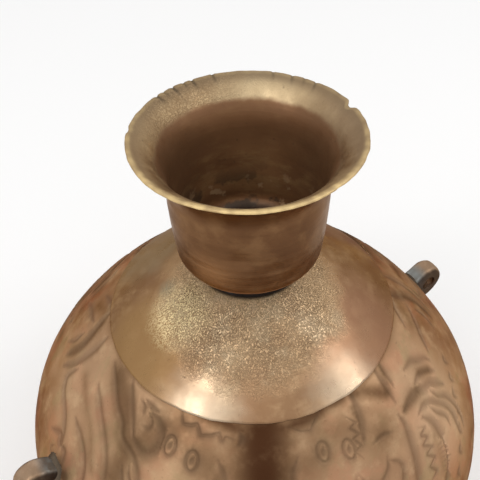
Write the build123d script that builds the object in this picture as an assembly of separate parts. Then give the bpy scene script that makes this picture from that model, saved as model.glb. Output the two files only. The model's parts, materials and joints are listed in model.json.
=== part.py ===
"""Engraved brass water pot (kalash): a round-bellied sheet-brass vessel with a conical shoulder collar,
a narrow throat and a trumpet-lipped mouth cup.

The pot is a soldered assembly of raised sheets, two cast eyes and the filler metal that joins them.
Millimetres, +Z up. The origin is on the pot's axis, in the plane that the foot ring stands on.
The two eyes lie on the X axis.
"""
from build123d import *
from math import acos, asin, atan, cos, degrees, radians, sin, sqrt
import os

os.makedirs("parts", exist_ok=True)

# ---- driving dimensions -------------------------------------------------------------------------
POT_HEIGHT = 306.0         # foot plane to the lip
SHEET = 1.3                # wall of every raised sheet

MOUTH_R = 50.0             # outside of the trumpet lip
CUP_R = 36.3               # outside of the cup's wall, just under the lip's flare
CUP_WAIST_R = 34.4         # outside of the wall where it turns into the floor
LIP_SWEEP = 65.0           # how far the lip turns outward from the wall, degrees
CUP_DEPTH = 66.5           # lip to the underside of the cup's floor
CUP_CORNER_R = 9.0         # outside corner between wall and floor
THROAT_R = 21.0            # outside of the throat tube
THROAT_DROP = 17.0         # how far the throat tube hangs below the cup's floor
TUBE_FLANGE = 4.0          # width of the tube's turned-over flange inside the cup

COLLAR_R = 72.25           # outside edge of the conical collar
COLLAR_EDGE_DROP = 103.5   # lip to the collar's outside edge
COLLAR_LIP_DROP = 69.0     # lip to the top of the collar's upturned inner edge
COLLAR_FILLET_R = 6.0      # between the upturned inner edge and the cone
COLLAR_CROWN = 1.6         # how far the cone bulges above a straight line
COLLAR_LAP = 9.0           # how far the collar laps over the shoulder's opening

BELLY_R = 128.3            # largest radius of the pot
BELLY_DROP = 195.0         # lip to the largest radius
BELLY_ARC_R = 77.3         # profile radius just above the belly
BELLY_ARC_SWEEP = 35.6     # how far that arc runs up from the belly, degrees
SHOULDER_ARC_R = 225.0     # flatter profile radius above it
BOWL_ARC_R = 95.0          # profile radius of the lower bowl
SEAM_Z = 91.0              # top edge of the bowl's lapping rim
SEAM_LAP = 8.0             # how far the bowl's rim laps over the shoulder's lower edge

FOOT_TOP_R = 50.0          # outside of the foot ring where it meets the bowl
FOOT_BASE_R = 58.0         # outside of the foot ring on the ground
FOOT_WALL = 2.2            # the foot ring is thicker than the raised sheets
FOOT_TREAD = 5.0           # width of the flat tread that the pot stands on
FOOT_TREAD_H = 2.4         # thickness of that tread

EYE_HEIGHT = 141.2         # height of the middle of each eye's foot
EYE_TILT = 30.0            # how far each eye points above the horizontal, degrees
EYE_SPREAD = 21.5          # outside size of the eye along the pot's surface
EYE_REACH = 18.4           # how far the eye stands out from the pot's surface
EYE_WIDTH = 12.0           # width of the eye along its hole
EYE_HOLE_R = 4.6           # hole through the eye
EYE_ROUND = 3.4            # rounding of the eye's long edges
EYE_SOLDER = 2.6           # how far the solder spreads round each eye's foot
EYE_SOLDER_H = 1.3         # how high the solder climbs

BEAD = 2.2                 # leg of the solder fillets at throat, collar and foot
SOLDER_CREEP = 1.0         # how far the foot's fillet runs down the ring, below the bowl's floor
SEAM_BEAD = 1.1            # leg of the brazing bead along the belly seam

# ---- worked out from them -----------------------------------------------------------------------
BELLY_Z = POT_HEIGHT - BELLY_DROP
CUP_BOTTOM_Z = POT_HEIGHT - CUP_DEPTH
COLLAR_EDGE_Z = POT_HEIGHT - COLLAR_EDGE_DROP
COLLAR_LIP_Z = POT_HEIGHT - COLLAR_LIP_DROP
BOWL_BOTTOM_Z = BELLY_Z - BOWL_ARC_R
BOWL_FLOOR_R = BELLY_R - BOWL_ARC_R
LIP_ARC_R = (MOUTH_R - CUP_R) / (1 - cos(radians(LIP_SWEEP)))
LIP_START_Z = POT_HEIGHT - (LIP_ARC_R + SHEET) * sin(radians(LIP_SWEEP))


def wall_of(outline, side):
    """A sheet of even thickness: the outline is its outer skin and the sheet lies on the given side."""
    return make_face(offset(outline, SHEET, side=side, closed=True).edges())


def turned(face):
    """A face drawn in the XZ plane, turned once round the pot's axis."""
    return revolve(Plane.XZ * face, Axis.Z)


def ring_of(points):
    """A solid ring whose section is the polygon through (radius, height) points."""
    return turned(make_face(Polyline(*points, close=True)))


def on_circle(centre, radius, angle):
    """The point of a circle at an angle from the +r direction, degrees."""
    return (centre[0] + radius * cos(radians(angle)), centre[1] + radius * sin(radians(angle)))


def arc(centre, radius, start, end):
    """An arc about centre between two angles, degrees."""
    return ThreePointArc(
        on_circle(centre, radius, start),
        on_circle(centre, radius, (start + end) / 2),
        on_circle(centre, radius, end),
    )


# ---- mouth: cup and throat ----------------------------------------------------------------------
def mouth_cup():
    """Trumpet lip, near-straight wall, rounded corner and a floor with the hole for the throat tube."""
    lip = arc((CUP_R + LIP_ARC_R, LIP_START_Z), LIP_ARC_R, 180 - LIP_SWEEP, 180)
    corner_centre = (CUP_WAIST_R - CUP_CORNER_R, CUP_BOTTOM_Z + CUP_CORNER_R)
    corner = arc(corner_centre, CUP_CORNER_R, 0, -90)
    wall = TangentArc(lip @ 1, corner @ 0, tangent=(0, -1))
    floor = Line(corner @ 1, (THROAT_R, CUP_BOTTOM_Z))
    skin = Wire([lip, wall, corner, floor])
    return turned(wall_of(skin, Side.RIGHT))


def throat_tube():
    """Short tube through the cup's floor, its top edge turned over inside the cup as a flange."""
    flange_z = CUP_BOTTOM_Z + SHEET
    bottom = CUP_BOTTOM_Z - THROAT_DROP
    return ring_of([
        (THROAT_R, bottom),
        (THROAT_R, flange_z),
        (THROAT_R + TUBE_FLANGE, flange_z),
        (THROAT_R + TUBE_FLANGE, flange_z + SHEET * 0.7),
        (THROAT_R - SHEET, flange_z + SHEET * 0.7),
        (THROAT_R - SHEET, bottom),
    ])


# ---- shoulder collar ----------------------------------------------------------------------------
def collar_cone():
    """The collar's bend and cone, as arcs of its upper skin."""
    slope = atan((COLLAR_LIP_Z - COLLAR_EDGE_Z) / (COLLAR_R - THROAT_R))
    bend_centre = (THROAT_R + SHEET + COLLAR_FILLET_R, COLLAR_LIP_Z)
    bend = arc(bend_centre, COLLAR_FILLET_R, 180, 270 - degrees(slope))
    start, end = bend @ 1, Vector(COLLAR_R, COLLAR_EDGE_Z)
    crown = Vector(sin(slope), cos(slope)) * COLLAR_CROWN
    return bend, ThreePointArc(start, (start + end) * 0.5 + crown, end)


def shoulder_collar():
    """Cone of sheet with an upturned inner edge that hugs the throat tube."""
    return turned(wall_of(Wire(collar_cone()), Side.RIGHT))


# ---- body ---------------------------------------------------------------------------------------
BELLY_CENTRE = (BELLY_R - BELLY_ARC_R, BELLY_Z)
SHOULDER_CENTRE = on_circle(BELLY_CENTRE, BELLY_ARC_R - SHOULDER_ARC_R, BELLY_ARC_SWEEP)
BOWL_CENTRE = (BELLY_R - BOWL_ARC_R, BELLY_Z)


def shoulder_angle(radius):
    """Where the shoulder's profile arc reaches a radius, as an angle about its centre, degrees."""
    return 90 - degrees(asin((radius - SHOULDER_CENTRE[0]) / SHOULDER_ARC_R))


def bowl_angle(height):
    """Where the bowl's profile arc reaches a height, as an angle about its centre, degrees."""
    return degrees(asin((height - BELLY_Z) / BOWL_ARC_R))


def body_upper():
    """Engraved upper shell, from the opening under the collar to the edge tucked inside the bowl's rim."""
    opening = shoulder_angle(COLLAR_R - COLLAR_LAP)
    shoulder = arc(SHOULDER_CENTRE, SHOULDER_ARC_R, opening, BELLY_ARC_SWEEP)
    belly = arc(BELLY_CENTRE, BELLY_ARC_R, BELLY_ARC_SWEEP, 0)
    tuck = arc(BOWL_CENTRE, BOWL_ARC_R, 0, bowl_angle(SEAM_Z - SEAM_LAP))
    return turned(wall_of(Wire([shoulder, belly, tuck]), Side.RIGHT))


def body_lower():
    """Lower bowl: its rim is stretched over the shoulder's edge, and its floor is flat inside the foot ring."""
    rim = arc(BOWL_CENTRE, BOWL_ARC_R + SHEET, bowl_angle(SEAM_Z), bowl_angle(SEAM_Z - SEAM_LAP))
    step_start = rim @ 1
    below = bowl_angle(SEAM_Z - SEAM_LAP - 2 * SHEET)
    side = arc(BOWL_CENTRE, BOWL_ARC_R, below, -90)
    step = Line(step_start, side @ 0)
    floor = Line(side @ 1, (0, BOWL_BOTTOM_Z))
    outer = Wire([rim, step, side, floor])
    inner_rim = arc(BOWL_CENTRE, BOWL_ARC_R, bowl_angle(SEAM_Z - SEAM_LAP), bowl_angle(SEAM_Z))
    inner_side = arc(BOWL_CENTRE, BOWL_ARC_R - SHEET, -90, below)
    inner_floor = Line((0, BOWL_BOTTOM_Z + SHEET), inner_side @ 0)
    inner = [inner_floor, inner_side, Line(inner_side @ 1, inner_rim @ 0), inner_rim]
    ends = [Line((0, BOWL_BOTTOM_Z), (0, BOWL_BOTTOM_Z + SHEET)), Line(inner_rim @ 1, rim @ 0)]
    return turned(make_face([*outer.edges(), *inner, *ends]))


def bowl_volume(extra=0.0):
    """The filled bowl, grown by extra, for trimming what is soldered under it."""
    side = arc(BOWL_CENTRE, BOWL_ARC_R + extra, 0, -90)
    bottom = BOWL_BOTTOM_Z - extra
    edges = [side, Line(side @ 1, (0, bottom)), Line((0, bottom), (0, BELLY_Z)), Line((0, BELLY_Z), side @ 0)]
    return turned(make_face(edges))


def foot_ring():
    """Flared ring with a flat tread, its top trimmed to the bowl."""
    top = BOWL_BOTTOM_Z + 3 * SHEET
    wall = [
        (FOOT_BASE_R - FOOT_TREAD, 0),
        (FOOT_BASE_R, 0),
        (FOOT_BASE_R, FOOT_TREAD_H),
        (FOOT_BASE_R - FOOT_TREAD + FOOT_WALL, FOOT_TREAD_H + 1.0),
        (FOOT_TOP_R, top),
        (FOOT_TOP_R - FOOT_WALL, top),
        (FOOT_BASE_R - FOOT_TREAD, FOOT_TREAD_H),
    ]
    return ring_of(wall) - bowl_volume()


# ---- eyes ---------------------------------------------------------------------------------------
def body_volume(extra=0.0):
    """The filled upper body, grown by extra, for fitting the eyes' feet to the pot's surface."""
    shoulder = arc(SHOULDER_CENTRE, SHOULDER_ARC_R + extra, shoulder_angle(COLLAR_R), BELLY_ARC_SWEEP)
    belly = arc(BELLY_CENTRE, BELLY_ARC_R + extra, BELLY_ARC_SWEEP, 0)
    top, bottom = shoulder @ 0, belly @ 1
    edges = [shoulder, belly, Line(bottom, (0, bottom.Y)), Line((0, bottom.Y), (0, top.Y)), Line((0, top.Y), top)]
    return turned(make_face(edges))


def eye_plane(side):
    """Plane of an eye's section: its origin on the pot's surface, its x along the eye, its y up the pot."""
    rise = EYE_HEIGHT - BELLY_Z
    radius = BELLY_CENTRE[0] + sqrt(BELLY_ARC_R**2 - rise**2)
    tilt = radians(EYE_TILT)
    return Plane(
        origin=(side * radius, 0, EYE_HEIGHT),
        x_dir=(side * cos(tilt), 0, sin(tilt)),
        z_dir=(0, -side, 0),
    )


def eye(side):
    """Cast loop: a round-ended bar standing on the pot, with a hole along the pot's circumference."""
    tip_r = EYE_SPREAD / 2
    reach = EYE_REACH - tip_r
    bury = EYE_SPREAD / 2
    section = Pos((reach - bury) / 2, 0) * Rectangle(reach + bury, EYE_SPREAD) + Pos(reach, 0) * Circle(tip_r)
    solid = extrude(eye_plane(side) * section, EYE_WIDTH / 2, both=True)
    solid = fillet(solid.edges(), EYE_ROUND)
    hole = extrude(eye_plane(side) * (Pos(reach, 0) * Circle(EYE_HOLE_R)), EYE_WIDTH, both=True)
    return solid - hole - body_volume()


def eye_solder(side):
    """Pool of solder round an eye's foot, one even skin on the pot's surface."""
    length, width = EYE_SPREAD + 2 * EYE_SOLDER, EYE_WIDTH + 2 * EYE_SOLDER
    plane = eye_plane(side)
    across = Plane(origin=plane.origin, x_dir=(0, 1, 0), z_dir=plane.x_dir)
    column = extrude(across * RectangleRounded(width, length, width / 2 - 0.1), EYE_SPREAD / 2, both=True)
    pool = column & (body_volume(EYE_SOLDER_H) - body_volume())
    return pool - eye(side)


# ---- filler metal -------------------------------------------------------------------------------
def throat_solder():
    """Fillet between the throat tube and the underside of the cup's floor."""
    return ring_of([
        (THROAT_R, CUP_BOTTOM_Z),
        (THROAT_R + BEAD, CUP_BOTTOM_Z),
        (THROAT_R, CUP_BOTTOM_Z - BEAD * 0.9),
    ])


def collar_inner_solder():
    """Fillet inside the pot, between the throat tube and the back of the collar's bend."""
    low = COLLAR_LIP_Z - COLLAR_FILLET_R
    bead = ring_of([(THROAT_R, low + BEAD), (THROAT_R, low - BEAD), (THROAT_R + 2 * BEAD, low - BEAD)])
    return bead - shoulder_collar()


def collar_edge_solder():
    """Solder between the lapping collar and the shoulder, seen as a dark line under the collar's edge."""
    inner_r, outer_r = COLLAR_R - COLLAR_LAP + 1.0, COLLAR_R - SHEET
    shoulder = arc(SHOULDER_CENTRE, SHOULDER_ARC_R, shoulder_angle(inner_r), shoulder_angle(outer_r))
    cone = collar_cone()[1]
    centre, radius = (cone.arc_center.X, cone.arc_center.Y), cone.radius - SHEET
    angles = [degrees(acos((r - centre[0]) / radius)) for r in (outer_r, inner_r)]
    underside = arc(centre, radius, *angles)
    ends = [Line(shoulder @ 1, underside @ 0), Line(underside @ 1, shoulder @ 0)]
    return turned(make_face([shoulder, underside, *ends]))


def belly_seam_braze():
    """Bead along the edge of the bowl's lapping rim."""
    angle = bowl_angle(SEAM_Z)
    low = on_circle(BOWL_CENTRE, BOWL_ARC_R, angle)
    out = on_circle(BOWL_CENTRE, BOWL_ARC_R + SEAM_BEAD, angle)
    high = on_circle(BOWL_CENTRE, BOWL_ARC_R, bowl_angle(SEAM_Z + SEAM_BEAD))
    return ring_of([low, out, high]) - body_upper() - body_lower()


def foot_solder():
    """Fillet between the outside of the foot ring and the bowl."""
    top = BOWL_BOTTOM_Z + 3 * SHEET
    neck = FOOT_BASE_R - FOOT_TREAD + FOOT_WALL
    slope = (neck - FOOT_TOP_R) / (top - FOOT_TREAD_H - 1.0)
    low = BOWL_BOTTOM_Z - SOLDER_CREEP
    block = ring_of([(FOOT_TOP_R, top), (FOOT_TOP_R + slope * (top - low), low), (FOOT_TOP_R + 2 * BEAD, top)])
    return block - bowl_volume()


# ---- write one file per node --------------------------------------------------------------------
NODES = {
    "mouth_cup": mouth_cup(),
    "throat_tube": throat_tube(),
    "shoulder_collar": shoulder_collar(),
    "body_upper": body_upper(),
    "body_lower": body_lower(),
    "foot_ring": foot_ring(),
    "eye_right": eye(1),
    "eye_left": eye(-1),
    "eye_solder_right": eye_solder(1),
    "eye_solder_left": eye_solder(-1),
    "throat_solder": throat_solder(),
    "collar_inner_solder": collar_inner_solder(),
    "collar_edge_solder": collar_edge_solder(),
    "belly_seam_braze": belly_seam_braze(),
    "foot_solder": foot_solder(),
}

for name, shape in NODES.items():
    export_step(shape, f"parts/{name}.step")
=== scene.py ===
"""Looks of the engraved brass water pot: raised sheets with hammer marks, chasing, wear and patina.

Lengths are millimetres until add_mesh() turns them into metres. Angles round the pot are degrees from +X.
Profiles are (radius, height) lines; "along" is the distance along such a line from its upper end.
"""
import json
from math import asin, cos, degrees, pi, radians, sin, sqrt

import bmesh
import bpy
import numpy as np
from mathutils import Matrix, Vector, geometry, kdtree, noise


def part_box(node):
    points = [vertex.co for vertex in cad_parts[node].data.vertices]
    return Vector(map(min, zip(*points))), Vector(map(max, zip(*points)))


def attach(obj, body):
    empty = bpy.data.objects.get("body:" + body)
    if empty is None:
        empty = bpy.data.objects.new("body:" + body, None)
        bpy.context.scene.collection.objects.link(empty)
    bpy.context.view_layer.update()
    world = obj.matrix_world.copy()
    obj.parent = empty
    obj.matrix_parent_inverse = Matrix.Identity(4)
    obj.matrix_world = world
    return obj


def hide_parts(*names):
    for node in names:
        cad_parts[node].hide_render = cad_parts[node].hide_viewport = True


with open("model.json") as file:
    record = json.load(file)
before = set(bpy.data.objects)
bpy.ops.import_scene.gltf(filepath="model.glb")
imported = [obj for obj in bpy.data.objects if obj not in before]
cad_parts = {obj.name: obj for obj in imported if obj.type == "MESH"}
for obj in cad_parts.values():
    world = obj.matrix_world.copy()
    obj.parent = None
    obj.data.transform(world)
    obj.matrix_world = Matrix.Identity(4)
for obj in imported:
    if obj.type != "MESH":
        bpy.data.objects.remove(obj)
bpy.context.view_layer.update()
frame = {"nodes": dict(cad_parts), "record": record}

MM = 0.001


def top(node):
    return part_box(node)[1].z / MM


def bottom(node):
    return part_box(node)[0].z / MM


def reach(node):
    """Largest distance of a node from the pot's axis, measured along X or Y."""
    return max(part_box(node)[1].x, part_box(node)[1].y) / MM


MOUNTS = {mount["name"]: mount for mount in frame["record"]["mounts"]}

# ---- sizes ----
SHEET = 1.3                # wall of every raised sheet
LIP_Z = top("mouth_cup")
MOUTH_R = reach("mouth_cup")
CUP_R = 36.3               # outside of the cup's wall, under the lip's flare
CUP_WAIST_R = 34.4         # outside of the wall where it turns into the floor
LIP_SWEEP = 65.0           # how far the lip turns outward from the wall
LIP_ARC_R = (MOUTH_R - CUP_R) / (1 - cos(radians(LIP_SWEEP)))
LIP_START_Z = LIP_Z - (LIP_ARC_R + SHEET) * sin(radians(LIP_SWEEP))
CUP_BOTTOM_Z = bottom("mouth_cup")
CUP_CORNER_R = 9.0
THROAT_R = 21.0
FLANGE_R = reach("throat_tube")
FLANGE_Z = top("throat_tube")

COLLAR_R = reach("shoulder_collar")
COLLAR_LIP_Z = top("shoulder_collar")
COLLAR_EDGE_Z = 202.5
COLLAR_BEND_R = 6.0        # between the collar's upturned inner edge and its cone
COLLAR_CROWN = 1.6         # how far the cone bulges above a straight line
COLLAR_LAP = 9.0           # how far the collar laps over the shoulder

BELLY_R = 128.3
BELLY_Z = 111.0
BELLY_ARC_R = 77.3
BELLY_ARC_SWEEP = 35.6
SHOULDER_ARC_R = 225.0
BOWL_ARC_R = 95.0
SEAM_Z = top("body_lower")
SEAM_LAP = 8.0
SHELL_BOTTOM_Z = bottom("body_upper")
BOWL_BOTTOM_Z = bottom("body_lower")

FOOT_TOP_R = 50.0
FOOT_BASE_R = reach("foot_ring")
FOOT_WALL = 2.2
FOOT_TREAD = 5.0
FOOT_TREAD_H = 2.4

EYE_WIDTH = MOUNTS["eye_right_hole"]["dims"]["length_mm"]
EYE_SPREAD = 21.5
EYE_HEIGHT = 141.2
EYE_HOLE_AT = MOUNTS["eye_right_hole"]["pos_m"][0] / MM
SOLDER_SPREAD = 2.8
SOLDER_CLIMB = 2.0
SOLDER_TOP_POINTS = 12     # of the points across a pool of solder, those on its upper face

FRONT = 240.0              # the side that faces the camera

BELLY_CENTRE = np.array([BELLY_R - BELLY_ARC_R, BELLY_Z])
BOWL_CENTRE = np.array([BELLY_R - BOWL_ARC_R, BELLY_Z])


def heading(azimuth, elevation):
    """Unit vector towards a direction: azimuth in degrees to the right of the camera's side."""
    turn, rise = radians(FRONT + azimuth), radians(elevation)
    return Vector((cos(turn) * cos(rise), sin(turn) * cos(rise), sin(rise)))


def spot(azimuth, radius, height):
    """Place in millimetres at a radius from the pot's axis, its azimuth as in heading()."""
    return heading(azimuth, 0) * radius + Vector((0, 0, height))


# ---- profiles ----
CORNER_POINTS = 4          # points that round each corner of an outline


def on_circle(centre, radius, angle):
    return np.array([centre[0] + radius * cos(radians(angle)), centre[1] + radius * sin(radians(angle))])


SHOULDER_CENTRE = on_circle(BELLY_CENTRE, BELLY_ARC_R - SHOULDER_ARC_R, BELLY_ARC_SWEEP)


def arc(centre, radius, start, end, step):
    """Points of an arc between two angles, about step apart."""
    count = max(3, int(abs(radians(end - start)) * radius / step) + 1)
    return np.array([on_circle(centre, radius, angle) for angle in np.linspace(start, end, count)])


def straight(start, end, step):
    count = max(2, int(np.hypot(*np.subtract(end, start)) / step) + 1)
    return np.linspace(start, end, count)


def joined(*runs):
    """One line from several that follow on from each other."""
    return np.vstack([runs[0], *(run[1:] for run in runs[1:])])


def bulged(start, end, rise, step):
    """Arc from start to end that rises above the straight line between them by rise."""
    start, end = np.array(start), np.array(end)
    across = end - start
    half = np.hypot(*across) / 2
    radius = (half**2 + rise**2) / (2 * rise)
    away = np.array([-across[1], across[0]]) / (2 * half)
    centre = (start + end) / 2 - away * (radius - rise)
    first, last = (degrees(np.arctan2(*(point - centre)[::-1])) for point in (start, end))
    return arc(centre, radius, first, last, step)


def rounded(points, radius):
    """Closed outline with each corner cut back by radius and rounded."""
    points = np.array(points, float)
    outline = []
    for before, corner, after in zip(np.roll(points, 1, 0), points, np.roll(points, -1, 0)):
        sides = [before - corner, after - corner]
        lengths = [np.hypot(*side) for side in sides]
        start, end = (corner + side / length * min(radius, length * 0.45)
                      for side, length in zip(sides, lengths))
        for t in np.linspace(0, 1, CORNER_POINTS):
            outline.append((1 - t) ** 2 * start + 2 * t * (1 - t) * corner + t**2 * end)
    return np.array(outline)


def divided(outline, step):
    """The same closed outline with its long sides split into runs of about step."""
    return np.vstack([straight(a, b, step)[:-1] for a, b in zip(outline, np.roll(outline, -1, 0))])


def along_line(line):
    """Distance along a line at each of its points."""
    return np.concatenate([[0], np.cumsum(np.hypot(*np.diff(line, axis=0).T))])


def cup_skin():
    step = 0.8
    lip = arc((CUP_R + LIP_ARC_R, LIP_START_Z), LIP_ARC_R, 180 - LIP_SWEEP, 180, step)
    drop = LIP_START_Z - CUP_BOTTOM_Z - CUP_CORNER_R
    narrowing = CUP_R - CUP_WAIST_R
    wall_r = (narrowing**2 + drop**2) / (2 * narrowing)
    wall = arc((CUP_R - wall_r, LIP_START_Z), wall_r, 0, -degrees(asin(drop / wall_r)), step)
    corner = arc((CUP_WAIST_R - CUP_CORNER_R, CUP_BOTTOM_Z + CUP_CORNER_R), CUP_CORNER_R, 0, -90, step)
    floor = straight(corner[-1], (THROAT_R, CUP_BOTTOM_Z), step)
    return joined(lip, wall, corner, floor)


def collar_skin():
    step = 0.6
    slope = degrees(np.arctan2(COLLAR_LIP_Z - COLLAR_EDGE_Z, COLLAR_R - THROAT_R))
    bend = arc((THROAT_R + SHEET + COLLAR_BEND_R, COLLAR_LIP_Z), COLLAR_BEND_R, 180, 270 - slope, step)
    return joined(bend, bulged(bend[-1], (COLLAR_R, COLLAR_EDGE_Z), COLLAR_CROWN, step))


def shoulder_angle(radius):
    """Where the shoulder's arc reaches a radius, as an angle about its centre."""
    return 90 - degrees(asin((radius - SHOULDER_CENTRE[0]) / SHOULDER_ARC_R))


def bowl_angle(height):
    return degrees(asin((height - BELLY_Z) / BOWL_ARC_R))


def shell_skin(step):
    """Outer skin of the chased shell, from its opening under the collar to its tucked-in lower edge."""
    opening = shoulder_angle(COLLAR_R - COLLAR_LAP)
    shoulder = arc(SHOULDER_CENTRE, SHOULDER_ARC_R, opening, BELLY_ARC_SWEEP, step)
    belly = arc(BELLY_CENTRE, BELLY_ARC_R, BELLY_ARC_SWEEP, 0, step)
    tuck = arc(BOWL_CENTRE, BOWL_ARC_R, 0, bowl_angle(SHELL_BOTTOM_Z + SHEET * 0.3), step)
    return joined(shoulder, belly, tuck)


def bowl_skin():
    """Outer skin of the lower bowl: stretched rim, step, side and flat floor."""
    step = 1.6
    rim = arc(BOWL_CENTRE, BOWL_ARC_R + SHEET, bowl_angle(SEAM_Z), bowl_angle(SEAM_Z - SEAM_LAP), step / 2)
    side = arc(BOWL_CENTRE, BOWL_ARC_R, bowl_angle(SEAM_Z - SEAM_LAP - 2 * SHEET), -90, step)
    floor = straight(side[-1], (3.0, BOWL_BOTTOM_Z), 4 * step)
    return joined(rim, side, floor)


# ---- mesh helpers ----
def add_mesh(name, points, faces, marks=None):
    """A smooth-shaded object of millimetre points, with one float attribute for each entry of marks."""
    mesh = bpy.data.meshes.new(name)
    mesh.from_pydata((np.asarray(points) * MM).tolist(), [], faces)
    mesh.validate()
    for mark, values in (marks or {}).items():
        mesh.attributes.new(mark, "FLOAT", "POINT").data.foreach_set("value", np.asarray(values, np.float32))
    mesh.polygons.foreach_set("use_smooth", np.ones(len(mesh.polygons), bool))
    obj = bpy.data.objects.new(name, mesh)
    bpy.context.scene.collection.objects.link(obj)
    return obj


def stands_for(obj, node, material):
    """Ties a piece to the pot's one body and to the CAD node that it takes the place of."""
    obj.data.materials.clear()
    obj.data.materials.append(material)
    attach(obj, "root")
    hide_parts(node)


def around(turns):
    return np.arange(turns) * 2 * pi / turns


def grid_faces(turns, rows):
    """Quads of a grid that closes on itself both ways."""
    i, j = np.meshgrid(np.arange(turns), np.arange(rows), indexing="ij")
    i_next, j_next = (i + 1) % turns, (j + 1) % rows
    quads = np.stack([i * rows + j, i_next * rows + j, i_next * rows + j_next, i * rows + j_next], -1)
    return quads.reshape(-1, 4).tolist()


def on_axis(radius, height, angle):
    """Points in space from radii, heights and angles in radians."""
    return np.stack([radius * np.cos(angle), radius * np.sin(angle), height + 0 * angle], -1)


def directions(line, closed=False):
    """Unit tangent and outward normal at each point of a (radius, height) line that runs downward."""
    if closed:
        tangent = np.roll(line, -1, 0) - np.roll(line, 1, 0)
    else:
        tangent = np.gradient(line, axis=0)
    tangent /= np.hypot(*tangent.T)[:, None]
    return tangent, np.stack([-tangent[:, 1], tangent[:, 0]], -1)


def smooth_noise(points, size, seed):
    """Smooth noise from about -1 to 1, with bumps about size across."""
    shifted = np.asarray(points).reshape(-1, 3) / size + seed * 17.3
    values = np.array([noise.noise(Vector(point)) for point in shifted])
    return values.reshape(np.shape(points)[:-1])


def hammered(points, size, seed):
    """Hollows of a round-faced hammer: 0 in the middle of each mark, rising to about 1 where marks meet."""
    shifted = np.asarray(points).reshape(-1, 3) / size + seed * 11.7
    nearest = np.array([noise.voronoi(Vector(point))[0][0] for point in shifted])
    return np.minimum(nearest.reshape(np.shape(points)[:-1]) ** 2 * 1.6, 1)


def turned_sheet(name, skin, relief, turns, inner_step=1, marks=None):
    """Sheet turned round the axis with rounded edges.

    relief(points, angle, along, outer) gives how far each point is lifted off the skin and slid along it;
    outer is 1 on the outer skin and 0 on the inner one. The rules in marks take the same values.
    """
    tangent, normal = directions(skin)
    last = len(skin) - 1
    bend = np.radians([45, 90, 135])
    inner = np.append(np.arange(last, 0, -inner_step), 0)
    index = np.concatenate([np.arange(last + 1), [last] * 3, inner, [0] * 3])
    half = SHEET / 2
    level = 0 * skin[:, 0]
    rise = half * np.cos(bend)
    offset = np.concatenate([level, -half + rise, 0 * inner - SHEET, -half - rise])
    extend = np.concatenate([level, half * np.sin(bend), 0 * inner, -half * np.sin(bend)])
    outer = 1 + offset / SHEET
    angle = around(turns)[:, None]
    along = along_line(skin)[index]
    base = on_axis(skin[index, 0], skin[index, 1], angle)
    lift, slide = relief(base, angle, along, outer)
    lift, slide = offset + lift, extend + slide
    radius, height = (skin[index, k] + normal[index, k] * lift + tangent[index, k] * slide for k in (0, 1))
    made = {mark: rule(base, angle, along, outer).ravel() for mark, rule in (marks or {}).items()}
    return add_mesh(name, on_axis(radius, height, angle).reshape(-1, 3), grid_faces(turns, len(index)), made)


def turned_ring(name, outline, relief, turns):
    """Solid ring turned from a closed outline, its points moved along the outline's normals by relief."""
    normal = directions(outline, closed=True)[1]
    angle = around(turns)[:, None]
    lift = relief(on_axis(outline[:, 0], outline[:, 1], angle))
    points = on_axis(outline[:, 0] + normal[:, 0] * lift, outline[:, 1] + normal[:, 1] * lift, angle)
    return add_mesh(name, points.reshape(-1, 3), grid_faces(turns, len(outline)))


def bell(away, width, power=2):
    """1 in the middle, falling off smoothly on both sides; a higher power gives a flatter top."""
    return np.exp(-(np.abs(away / width) ** power))


def turn_between(angle, target):
    """Signed difference between angles in radians and a target in degrees, in radians."""
    return (angle - radians(target) + pi) % (2 * pi) - pi


# ---- materials ----
GOLD = (0.78, 0.58, 0.28)
TARNISH = (0.035, 0.026, 0.020)
VERDIGRIS = (0.16, 0.24, 0.20)
# painted warm reflection on the cup's left side
WARM_REFLECTION = (0.40, 0.215, 0.098)
# painted reflection of the collar: a copper line round the cup's foot
REFLECTED_COPPER_LINE = (0.40, 0.185, 0.088)
RIM_SHADE = (0.23, 0.160, 0.095)
# painted shade on the cup's underside
UNDERSIDE_SHADE = (0.080, 0.046, 0.028)
WRINKLE_R = 45.0           # radius at which the collar's wrinkles have their full pitch


class Nodes:
    """Shader nodes of one tree. Every value is a number, a tuple or another node's socket."""

    def __init__(self, tree):
        self.tree = tree

    def node(self, kind, inputs=None, **settings):
        """Outputs of a new node."""
        made = self.tree.nodes.new("ShaderNode" + kind)
        for key, value in settings.items():
            setattr(made, key, value)
        for socket, value in (inputs or {}).items():
            if isinstance(value, bpy.types.NodeSocket):
                self.tree.links.new(value, made.inputs[socket])
            else:
                made.inputs[socket].default_value = value
        return made.outputs

    def math(self, operation, a, b=0.0):
        return self.node("Math", {0: a, 1: b}, operation=operation)[0]

    def times(self, a, b):
        return self.math("MULTIPLY", a, b)

    def plus(self, a, b):
        return self.math("ADD", a, b)

    def inverse(self, value):
        return self.math("SUBTRACT", 1.0, value)

    def vector(self, operation, a, b=(0, 0, 0), output="Vector"):
        return self.node("VectorMath", {0: a, 1: b}, operation=operation)[output]

    def ramp(self, value, low, high, start=0.0, end=1.0):
        """Smooth rise from start to end while value goes from low to high."""
        inputs = {"Value": value, "From Min": low, "From Max": high, "To Min": start, "To Max": end}
        return self.node("MapRange", inputs, interpolation_type="SMOOTHSTEP")["Result"]

    def tinted(self, colour, factor, tint, share=1.0):
        """The colour with a tint laid over it, as strongly as factor times share."""
        strength = factor if share == 1.0 else self.times(factor, share)
        a, b = (value if isinstance(value, bpy.types.NodeSocket) else (*value, 1) for value in (colour, tint))
        return self.node("Mix", {0: strength, 6: a, 7: b}, data_type="RGBA", clamp_factor=True)[2]


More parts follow.
